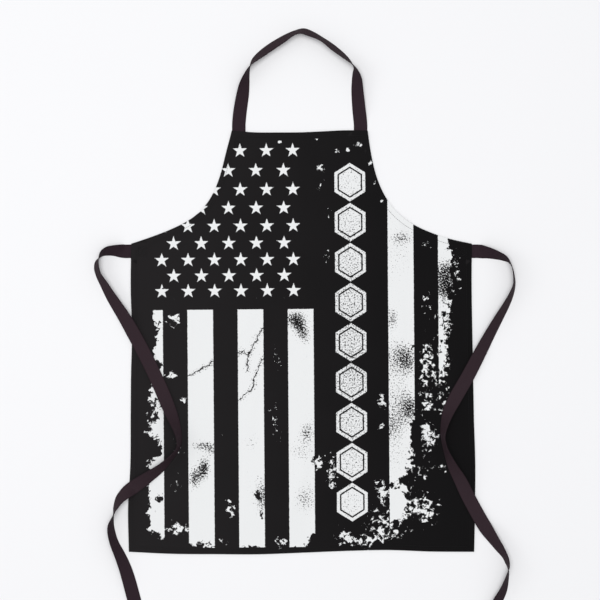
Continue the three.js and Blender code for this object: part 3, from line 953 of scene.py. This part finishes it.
def cells(u, v):
    """Six-sided cells that stand on a corner, one below the other."""
    turn = (CELL_TOP - v) / CELL_PITCH
    down = (turn - turn.use("FLOOR") - 0.5) * CELL_PITCH
    x = (u - COLUMN_MIDDLE).size()
    slope = CELL_HALF_HEIGHT / 2 / CELL_HALF_WIDTH
    slanted = (CELL_HALF_HEIGHT - down.size() - x * slope) / math.hypot(1, slope)
    cell = (CELL_HALF_WIDTH - x).at_most(slanted)
    line = (cell - CELL_LINE[0]) * -1
    core = cell - CELL_LINE[1]
    solid = cell.at_most(line.at_least(core))
    return solid.at_most(turn * CELL_PITCH).at_most((CELLS - turn) * CELL_PITCH)


print(f"{CELLS} cells, {CELL_PITCH - 2 * CELL_HALF_HEIGHT:.1f} mm apart")

# %% Stars
STAR_TOP, STAR_ROW, STAR_CLOSING = 167.4, 33.4, 0.535  # the rows close up towards the waist
STAR_PITCH, STAR_LAST, STAR_ROWS = 43.8, -13.5, 9
STAR_SHIFT, STAR_SPREAD = -15.5, 2.1  # of every other row, which has fewer stars, set wider apart
STAR_RADIUS, STAR_NOTCH = 12.2, 0.4
STARS_IN_ROW = 6  # and one fewer in every other row


def stars(u, v):
    """Five-pointed stars in rows, every other row shifted.

    The rows' spacing shrinks evenly, so a row's number is the root of a quadratic in the depth. Round a
    star's middle, the angle is folded into one half of one point, whose side is a straight line."""
    depth = ((STAR_ROW**2 - (STAR_TOP - v) * 4 * STAR_CLOSING).at_least(0)).use("SQRT")
    turn = (STAR_ROW - depth) / (2 * STAR_CLOSING)
    row = turn.nearest_whole()
    odd = (row * 0.5).use("FRACT") * 2
    up = (row - turn) * (STAR_ROW - row * (2 * STAR_CLOSING))
    pitch = odd * STAR_SPREAD + STAR_PITCH
    column = (u - STAR_LAST - odd * STAR_SHIFT) / pitch
    x = (column - column.nearest_whole()) * pitch
    fifth = math.tau / 5
    angle = x.use("ARCTAN2", up) / fifth
    angle = (angle - angle.nearest_whole()).size() * fifth
    radius = (x * x + up * up).use("SQRT")
    px, py = radius * angle.use("COSINE"), radius * angle.use("SINE")
    notch_x = STAR_RADIUS * STAR_NOTCH * math.cos(fifth / 2)
    notch_y = STAR_RADIUS * STAR_NOTCH * math.sin(fifth / 2)
    edge = math.hypot(STAR_RADIUS - notch_x, notch_y)
    star = ((STAR_RADIUS - px) * notch_y - py * (STAR_RADIUS - notch_x)) / edge
    in_rows = (turn + 0.5).at_most(STAR_ROWS - 0.5 - turn) * STAR_ROW
    place = column.nearest_whole()
    in_columns = (0.5 - place).at_most(place + (STARS_IN_ROW - 0.5) - odd) * STAR_PITCH
    return star.at_most(in_rows).at_most(in_columns)


print(STAR_ROWS, "rows of stars")

# %% [markdown]
# Old ink wears off in patches, and flecks of it lie outside the shapes. It goes in two ways: whole
# flakes break away, and rubbing leaves a fine speckle. How much of each there is changes slowly over
# the cloth, so the mesh carries it as values at its points: each patch below adds one soft oval.

# %% Where whole flakes are gone
# Each patch: its middle x and y, its half width and half height in millimetres, and its strength.
FLAKED = [
    (-290, -300, 30, 330, 3.0), (-256, -128, 9, 46, 1.3), (-262, -160, 14, 66, 0.95),
    (-250, -206, 24, 10, 1.1), (-243, -330, 13, 18, 1.3), (-241, -262, 16, 36, 0.62),
    (-238, -132, 12, 26, 0.55), (-237, -188, 12, 8, 1.2), (-234, -64, 10, 7, 0.75),
    (-268, -420, 14, 50, 0.7), (-234, -410, 9, 10, 1.1), (-256, -492, 46, 20, 1.9),
    (-73, -409, 7, 16, 1.15), (-66, -436, 4, 16, 1.1), (22, -350, 8, 20, 0.9), (22, -484, 14, 20, 0.9),
    (186, -160, 8, 46, 0.7), (190, -300, 9, 40, 0.75), (176, -380, 20, 8, 0.9), (196, -398, 18, 14, 1.2),
    (150, -390, 12, 8, 0.9), (150, -470, 90, 20, 1.5), (166, -500, 90, 30, 2.2),
    (292, -200, 38, 420, 3.0), (268, 12, 16, 60, 1.2), (244, -108, 26, 36, 0.3),
    (240, -180, 26, 60, 0.25), (240, -420, 50, 150, 3.4), (-165, -500, 34, 18, 1.35),
    (-82, -502, 34, 16, 1.1), (0, -502, 40, 14, 1.1)]
print(len(FLAKED), "flaked patches")

# %% Where the ink is rubbed
RUBBED = [
    (-258, -270, 12, 60, 0.7), (-165, -323, 28, 8, 0.72), (-149, -333, 8, 9, 0.5),
    (-162, -362, 9, 18, 0.72), (-178, -378, 11, 18, 0.78), (-160, -352, 24, 34, 0.34),
    (-64, -408, 12, 30, 0.7), (-84, -318, 18, 16, 0.5), (-80, -400, 30, 60, 0.3),
    (-13, -113, 19, 17, 0.85), (-3, -129, 11, 18, 0.55), (6, -142, 10, 14, 0.45), (8, -300, 12, 16, 0.62),
    (-4, -332, 26, 20, 0.45), (4, -412, 20, 26, 0.55), (168, -168, 26, 24, 0.58),
    (178, -186, 14, 20, 0.34), (164, -196, 56, 24, 0.26), (166, -250, 28, 40, 0.48),
    (182, -262, 14, 22, 0.6), (150, -292, 26, 24, 0.4), (164, -340, 40, 40, 0.3), (170, 22, 20, 12, 0.5),
    (166, -8, 24, 50, 0.28), (240, -34, 28, 26, 0.95), (240, -66, 26, 20, 0.7), (240, -120, 26, 50, 0.45),
    (152, -112, 10, 18, 0.6), (190, -108, 8, 14, 0.6), (81, -150, 70, 500, 0.68),
    (-190, -430, 60, 60, 0.2)]
print(len(RUBBED), "rubbed patches")

# %% Where flecks of ink lie outside the shapes
FLECKS = [
    (95, 177, 10, 8, 1.15), (57, 165, 8, 9, 1.0), (31, 139, 11, 9, 1.1), (77, 168, 6, 5, 1.1),
    (31, 112, 8, 16, 0.9), (113, 147, 7, 7, 1.1), (123, 115, 5, 5, 1.2), (42, 64, 14, 16, 0.75),
    (40, -10, 10, 20, 0.7), (206, -20, 10, 30, 0.45), (258, -20, 10, 30, 0.7), (262, -60, 10, 40, 0.6),
    (206, -84, 12, 24, 0.7), (236, -110, 20, 30, 0.72), (206, -170, 16, 36, 0.78),
    (238, -160, 16, 36, 0.72), (236, -216, 18, 40, 0.66), (206, -216, 14, 30, 0.62),
    (206, -256, 18, 16, 0.72), (242, -262, 16, 20, 0.7), (204, -294, 12, 18, 0.86),
    (208, -328, 14, 20, 0.66), (222, -310, 18, 22, 0.66), (204, -366, 24, 16, 0.6),
    (240, -360, 14, 14, 0.6), (134, -250, 10, 18, 0.92), (134, -292, 8, 12, 0.85),
    (132, -396, 14, 24, 0.62), (160, -420, 50, 46, 0.4), (152, -404, 14, 12, 0.5),
    (160, -440, 14, 10, 0.6), (206, -424, 26, 34, 0.6), (128, -456, 26, 24, 0.72),
    (96, -482, 40, 12, 0.9), (70, -468, 16, 14, 0.7), (160, -474, 30, 10, 0.6), (-211, -114, 14, 16, 1.0),
    (-216, -207, 14, 10, 0.95), (-205, -461, 22, 14, 1.12), (-246, -466, 16, 8, 0.8),
    (-33, -484, 16, 12, 1.0), (28, -354, 10, 14, 1.05), (-196, -248, 12, 7, 0.95),
    (-206, -330, 12, 14, 0.7), (-206, -390, 12, 20, 0.6), (-118, -428, 14, 20, 0.82),
    (-42, -290, 8, 30, 0.5), (-40, -172, 8, 30, 0.5), (-126, -484, 20, 8, 0.7), (51, -372, 8, 36, 0.95),
    (214, -440, 30, 28, 0.3), (208, 14, 12, 10, 0.8), (25, 185, 4, 3, 1.3), (-36, 181, 5, 3, 1.3),
    (133, 83, 4, 4, 1.3), (134, -500, 80, 6, 0.7), (-20, -230, 260, 250, 0.24),
    (-60, -340, 200, 170, 0.1)]
print(len(FLECKS), "flecked patches")

# %% Patches painted on the mesh


def paint_patches(piece, name, patches):
    """Keeps at each point of the piece the sum of the patches' soft ovals."""
    places = np.array([v.co.xy for v in piece.data.vertices]) / MM
    total = np.zeros(len(places))
    for x, y, wide, high, strength in patches:
        away = (places - (x, y)) / (wide, high)
        total += strength * np.exp(-(away**2).sum(1))
    attribute = piece.data.attributes.new(name, "FLOAT", "POINT")
    attribute.data.foreach_set("value", total.astype(np.float32))
    print(f"{name}: up to {total.max():.1f} on {piece.name}")


for attribute_name, patches in (("flaked", FLAKED), ("rubbed", RUBBED), ("flecks", FLECKS)):
    paint_patches(cloth, attribute_name, patches)

# %% [markdown]
# Ink cracks where the cloth was creased. Each crack is a broken line, and its distance is worked out
# with vector nodes: how far along a straight run a point lies, clamped to the run, gives the nearest
# place on it. A little noise added to the point first makes the line crooked.

# %% Cracks in the ink
CRACK_BEND, CRACK_BENDS_PER_METRE = 6, 110  # how far a crack strays each way, in millimetres, and how often
CRACKS = [
    [(-190, -207), (-168, -198), (-147, -185)],
    [(-64, -128), (-78, -152), (-89, -176), (-90, -198)],
    [(-107, -169), (-96, -168), (-89, -176)],
    [(-63, -178), (-76, -203), (-80, -226), (-103, -247)]]


def vector_sum(tree, operation, *values):
    node = tree.nodes.new("ShaderNodeVectorMath")
    node.operation = operation
    for slot, value in zip(node.inputs, values):
        if isinstance(value, bpy.types.NodeSocket):
            tree.links.new(value, slot)
        else:
            slot.default_value = value
    return node


def distance_to_run(tree, place, start, end):
    """How far a place is from the straight run between two points."""
    way = Vector((*end, 0)) - Vector((*start, 0))
    apart = vector_sum(tree, "SUBTRACT", place, (*start, 0)).outputs["Vector"]
    along = vector_sum(tree, "DOT_PRODUCT", apart, way / way.length_squared).outputs["Value"]
    along = Sum(tree, along).at_least(0).at_most(1)
    nearest = vector_sum(tree, "SCALE", way)
    connect(tree, along, nearest.inputs["Scale"])
    away = vector_sum(tree, "SUBTRACT", apart, nearest.outputs["Vector"]).outputs["Vector"]
    return Sum(tree, vector_sum(tree, "LENGTH", away).outputs["Value"])


def crack_distance(tree, vector):
    """Millimetres from the nearest crack."""
    bend = tree.nodes.new("ShaderNodeTexNoise")
    bend.inputs["Scale"].default_value = CRACK_BENDS_PER_METRE
    bend.inputs["Detail"].default_value = 3
    tree.links.new(vector, bend.inputs["Vector"])
    swing, back = (2 * CRACK_BEND, 2 * CRACK_BEND, 0), (-CRACK_BEND, -CRACK_BEND, 0)
    bent = vector_sum(tree, "MULTIPLY_ADD", bend.outputs["Color"], swing, back)
    flat = vector_sum(tree, "MULTIPLY", vector, (1 / MM, 1 / MM, 0))
    place = vector_sum(tree, "ADD", flat.outputs["Vector"], bent.outputs["Vector"]).outputs["Vector"]
    nearest = None
    for crack in CRACKS:
        for start, end in zip(crack, crack[1:]):
            run = distance_to_run(tree, place, start, end)
            nearest = run if nearest is None else nearest.at_most(run)
    return nearest


print(len(CRACKS), "cracks of", sum(len(crack) - 1 for crack in CRACKS), "straight runs")

# %% [markdown]
# The front of the cloth is black polyester with the print in white. Its black carries painted light
# and shade: it is greyer towards the left, where the light comes from, and darker towards the right.
# The ink fills the weave, so its relief is softer there, and it is thinner in a fine speckle where the
# threads show through. All of it is one material, since a print is not a layer of its own: one value,
# the amount of ink, mixes colour, gloss and relief.

# %% Colours of the printed cloth
# painted light and shade: the lit grey at the cloth's left and the shaded black at its right
CLOTH_PAINTED_LIT = shade(34, 32, 33)
CLOTH_PAINTED_SHADED = shade(16, 15, 16)
PAINTED_SHADE_SPAN = (-0.32, 0.38)  # from where to where across the cloth it darkens, in metres
PAINTED_SHADE_SWAY = 0.16  # how far, in metres, slow noise moves that change
INK_WHITE = shade(229, 230, 230)
INK_THIN = shade(206, 206, 210)
THIN_LEVELS, THIN_MOST = (0.52, 0.74), 0.4  # of the speckle noise, and the most it shows
INK_LEVELLING = 0.5  # share of the weave's relief that ink fills
CLOTH_ROUGHNESS, INK_GLOSS = 0.82, 0.12  # ink is that much less rough

# %% Amounts of wear
EDGE_RAGGED, EDGE_SOFT = 2.2, 0.3  # of a printed edge, in millimetres
# Ink is gone, or a fleck is there, where noise passes a level, and a patch of strength 1 moves the level.
FLAKE_LEVEL, FLAKE_PULL = 0.2, 0.36
FLECK_LEVEL, FLECK_PULL = 0.8, 0.3
RUB_LEVEL, RUB_PULL = 0.2, 0.34
FLAKE_SOFT, RUB_SOFT = 0.014, 0.05
CRACK_SIDE, CRACK_PULL = 14, 0.25  # how far from a crack the ink is rubbed, in millimetres, and how much
CRACK_RAGGED, CRACK_EDGE = 3, (0.5, 1.3)  # how uneven its sides are, and where they lie

# %% Ink on cloth


def worn(tree, vector, ink):
    """How much ink there is once some has flaked off, strayed as flecks, rubbed off and cracked."""
    flakes = noise(tree, vector, 88, detail=5, roughness=0.66, distortion=0.4)
    ink = ink * (flakes - carried(tree, "flaked") * FLAKE_PULL - FLAKE_LEVEL).rising(0, FLAKE_SOFT)

    flecked = noise(tree, vector, 124, detail=6, roughness=0.65, distortion=0.5)
    stray = (flecked + carried(tree, "flecks") * FLECK_PULL - FLECK_LEVEL).rising(0, FLAKE_SOFT)
    ink = ink.at_least(stray)

    crack = crack_distance(tree, vector)
    beside = (crack * (-1 / CRACK_SIDE) + 1).at_least(0) * CRACK_PULL
    rubbing = noise(tree, vector, 380, detail=3, roughness=0.75)
    ink = ink * (rubbing - carried(tree, "rubbed") * RUB_PULL - beside - RUB_LEVEL).rising(0, RUB_SOFT)
    return ink * (crack + (rubbing - 0.5) * CRACK_RAGGED).rising(*CRACK_EDGE)


def printed_cloth():
    material, tree, shader = finish("printed_cloth", roughness=0.8, specular=0.07)
    x, y, vector = uv_place(tree, "flat_cut")
    u, v = (x + y * PRINT_LEAN) / MM, (y - x * PRINT_LEAN) / MM

    shapes = stripes(u, v).at_least(cells(u, v)).at_least(stars(u, v))
    ragged = noise(tree, vector, 420, detail=3, roughness=0.65)
    ink = (shapes + (ragged - 0.5) * EDGE_RAGGED).rising(-EDGE_SOFT, EDGE_SOFT)
    ink = worn(tree, vector, ink)

    thin = noise(tree, vector, 900, detail=2, roughness=0.7).rising(*THIN_LEVELS)
    ink_colour = mixed(tree, thin * THIN_MOST, INK_WHITE, INK_THIN)
    # painted shade: the ground darkens from the lit grey on the left to the shaded black on the right
    cloud = noise(tree, vector, 9, detail=3)
    painted_shade = (x + cloud * PAINTED_SHADE_SWAY).rising(*PAINTED_SHADE_SPAN)
    painted_shade_ground = mixed(tree, painted_shade, CLOTH_PAINTED_LIT, CLOTH_PAINTED_SHADED)
    tree.links.new(mixed(tree, ink, painted_shade_ground, ink_colour), shader.inputs["Base Color"])
    connect(tree, ink * -INK_GLOSS + CLOTH_ROUGHNESS, shader.inputs["Roughness"])
    relief = plain_weave(tree, x, y) * (1 - ink * INK_LEVELLING)
    raise_surface(tree, shader, relief, WEAVE_RELIEF)
    return material


PRINTED = printed_cloth()
print("printed cloth:", len(PRINTED.node_tree.nodes), "nodes")

# %% [markdown]
# The print goes on one side of pale polyester, so the reverse is a mottled grey, where some of the dark
# ground has gone through. The hems are the printed side turned over, so they are black.

# %% Plain cloths


def woven_cloth(name, colour, mottling, roughness):
    """Plain woven cloth of one colour with clouds of a second."""
    material, tree, shader = finish(name, roughness=roughness, specular=0.08)
    x, y, vector = uv_place(tree, "flat_cut")
    cloud = noise(tree, vector, 30, detail=4).rising(0.3, 0.7)
    tree.links.new(mixed(tree, cloud, colour, mottling), shader.inputs["Base Color"])
    raise_surface(tree, shader, plain_weave(tree, x, y), WEAVE_RELIEF)
    return material


REVERSE = woven_cloth("cloth_reverse", shade(150, 148, 150), shade(128, 126, 128), 0.85)
HEM = woven_cloth("hem_cloth", shade(22, 21, 22), shade(30, 28, 29), 0.82)
print("plain cloths:", REVERSE.name, HEM.name)

# %% [markdown]
# The tape is an aubergine twill: fine slanted ribs, with a firmer, slightly darker selvedge along both
# edges. Its back is a little greyer than its face, which shows where the tape rolls over. The ribs are
# waves on the tape's own map, so they keep their slant round every bend, as no flat pattern would.

# %% Tape
RIBS_PER_METRE = 1300
PICKS_PER_METRE = RIBS_PER_METRE * 1.7  # threads straight across the tape
SELVEDGE = (1.6 * MM, 1.1 * MM)  # from the tape's edge: where the selvedge starts, and is full
TAPE_RELIEF = 0.22 * MM
TAPE_DARK = shade(36, 25, 31)
TAPE_LIGHT = shade(50, 37, 44)
BACK_DARK = shade(39, 28, 33)
BACK_LIGHT = shade(55, 42, 48)


def tape_finish():
    material, tree, shader = finish("woven_tape", roughness=0.75, specular=0.1)
    across, along, vector = uv_place(tree, "weave")
    is_back = across.rising(BACK_STEP / 2 - MM, BACK_STEP / 2 + MM)
    middle = across - is_back * BACK_STEP
    rib = ((middle + along) * (RIBS_PER_METRE * math.pi)).use("SINE")
    pick = (along * (PICKS_PER_METRE * math.pi)).use("SINE")
    height = (rib * 0.35 + pick * 0.15) + 0.5
    selvedge = middle.size().rising(*[TAPE_WIDTH / 2 - inset for inset in SELVEDGE])
    fuzz = noise(tree, vector, 700, detail=3, roughness=0.7)
    tone = (height * 0.55 + fuzz * 0.6 - selvedge * 0.25).rising(0.2, 0.95)
    face = mixed(tree, tone, TAPE_DARK, TAPE_LIGHT)
    back = mixed(tree, tone, BACK_DARK, BACK_LIGHT)
    tree.links.new(mixed(tree, is_back, face, back), shader.inputs["Base Color"])
    raise_surface(tree, shader, height * (1 - selvedge * 0.6), TAPE_RELIEF)
    return material


TAPE_CLOTH = tape_finish()
print("tape:", len(TAPE_CLOTH.node_tree.nodes), "nodes")

# %% [markdown]
# Polyester thread is shinier than the cloth. Its strands could be modelled as a twisted pair, but at
# half a millimetre thick a fine slanted wave on Object coordinates is enough.

# %% Thread
TWIST_RATE = 9000  # radians of the wave to the metre
TWIST_RELIEF = 0.08 * MM


def thread_finish():
    material, tree, shader = finish("black_thread", roughness=0.55, specular=0.15)
    place = tree.nodes.new("ShaderNodeTexCoord")
    split = tree.nodes.new("ShaderNodeSeparateXYZ")
    tree.links.new(place.outputs["Object"], split.inputs[0])
    x, y = Sum(tree, split.outputs[0]), Sum(tree, split.outputs[1])
    twist = ((x + y) * TWIST_RATE).use("SINE") * 0.5 + 0.5
    tree.links.new(mixed(tree, twist, shade(14, 13, 14), shade(26, 25, 26)), shader.inputs["Base Color"])
    raise_surface(tree, shader, twist, TWIST_RELIEF)
    return material


THREAD_BLACK = thread_finish()
print("thread:", len(THREAD_BLACK.node_tree.nodes), "nodes")

# %% Each piece in its finish


def dress(piece, *materials):
    piece.data.materials.clear()
    for material in materials:
        piece.data.materials.append(material)


tapes = (neck_strap, left_tie, right_tie, left_fold, right_fold)
threads = (*rows.values(), *boxes.values(), left_row, right_row)
dress(cloth, PRINTED, REVERSE)
for piece in hems.values():
    dress(piece, HEM)
for piece in tapes:
    dress(piece, TAPE_CLOTH)
for piece in threads:
    dress(piece, THREAD_BLACK)
print("dressed: the cloth,", len(hems), "hems,", len(tapes), "tapes and", len(threads), "sets of stitches")

# %% [markdown]
# The apron lies on a plain pale floor. A big soft box overhead, a little to the left, gives the gentle
# shadows on the inner side of each bend, a weak one low on the left lights the tapes from the side, and
# the pale world fills the shadows from all round. A small hard lamp would cut them too sharply.

# %% Floor and light
FLOOR_SIZE = 30
FLOOR_WHITE = (0.86, 0.858, 0.868, 1)
ROOM_WHITE = (0.93, 0.94, 0.96, 1)
ROOM_STRENGTH = 0.48

bpy.ops.object.select_all(action="DESELECT")
bpy.ops.mesh.primitive_plane_add(size=FLOOR_SIZE, location=(0, 0, 0))
floor = bpy.context.object
floor.name = "floor"
floor_material, _, floor_shader = finish("pale_floor", roughness=0.9, specular=0.1)
floor_shader.inputs["Base Color"].default_value = FLOOR_WHITE
dress(floor, floor_material)


def soft_box(name, place, aim, size, watts):
    bpy.ops.object.light_add(type="AREA", location=place)
    light = bpy.context.object
    light.name = name
    light.data.shape = "SQUARE"
    light.data.size = size
    light.data.energy = watts
    light.rotation_euler = (Vector(aim) - Vector(place)).to_track_quat("-Z", "Y").to_euler()
    return light


soft_box("overhead_box", (-0.15, 0.2, 5.0), (0, -0.05, 0), 3.2, 172)
soft_box("left_fill", (-2.6, 0.2, 1.6), (0, 0, 0), 1.2, 8)

world = bpy.data.worlds.new("pale_room")
bpy.context.scene.world = world
world.use_nodes = True
backdrop = world.node_tree.nodes["Background"]
backdrop.inputs["Color"].default_value = ROOM_WHITE
backdrop.inputs["Strength"].default_value = ROOM_STRENGTH
print("floor and lights")

# %% [markdown]
# The cloth, hems and their stitches ride on the apron, and each tie's turned end and its row of
# stitches ride on that tie's own body. The tapes themselves are baked in place and ride on no body.
# The imported parts that these pieces replace are hidden.

for piece, slot in (
        (cloth, "cloth"), *[(hem, "cloth") for hem in hems.values()],
        *[(row, "thread") for row in (*rows.values(), *boxes.values())]):
    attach(piece, "apron")
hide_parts("body_panel")
for node, piece in (*hems.items(), *rows.items(), *boxes.items()):
    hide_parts(node)

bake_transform(neck_strap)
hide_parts("neck_strap", "neck_strap_left_end", "neck_strap_right_end")

TIES = {
    "left_tie": (-1, left_tie, left_fold, left_row), "right_tie": (1, right_tie, right_fold, right_row)}
for body, (side, tape, fold, row) in TIES.items():
    root = Vector((side * WAIST_HALF, TIE_Y, 0))
    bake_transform(tape)
    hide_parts(body, f"{body}_root")
    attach(fold, body)
    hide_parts(f"{body}_end_fold")
    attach(row, body)
    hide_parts(f"{body}_end_stitch")

print("pieces ride on", ", ".join(["apron", *TIES]), "and the neck tape bends to its own body")

# %% [markdown]
# A tape is still a cord when it is moved by hand, and the cloth a sheet. The lengths of the three tapes,
# along their middles, are printed.

# %% Lengths of the tapes
print("cords of", ", ".join(f"{length:.3f}" for length in (neck_length, left_length, right_length)), "m")
